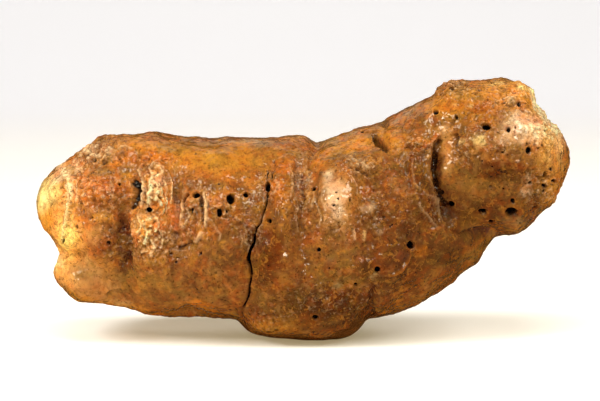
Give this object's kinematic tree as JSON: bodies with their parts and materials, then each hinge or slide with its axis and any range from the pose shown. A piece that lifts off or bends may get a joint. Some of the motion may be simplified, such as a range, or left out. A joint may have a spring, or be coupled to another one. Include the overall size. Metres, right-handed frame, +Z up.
{
  "type": "coprolite",
  "caption": "Bent, lumpy fossil dropping with a raised round end, a deep fold, a long crack and small bored pits, lying on a small flat spot under its belly.",
  "frame": {"origin": "middle of the bounding box, at the small flat on the belly that it stands on", "axes": "+X along the length towards the raised round end, -Y towards the cracked side, +Z up"},
  "size_m": [0.2134, 0.078, 0.1041],
  "materials": {
    "fossil": "glossy lacquered fossil phosphate, ochre to reddish brown with cream patches"
  },
  "bodies": {
    "root": {"coprolite": "fossil"}
  },
  "joints": []
}
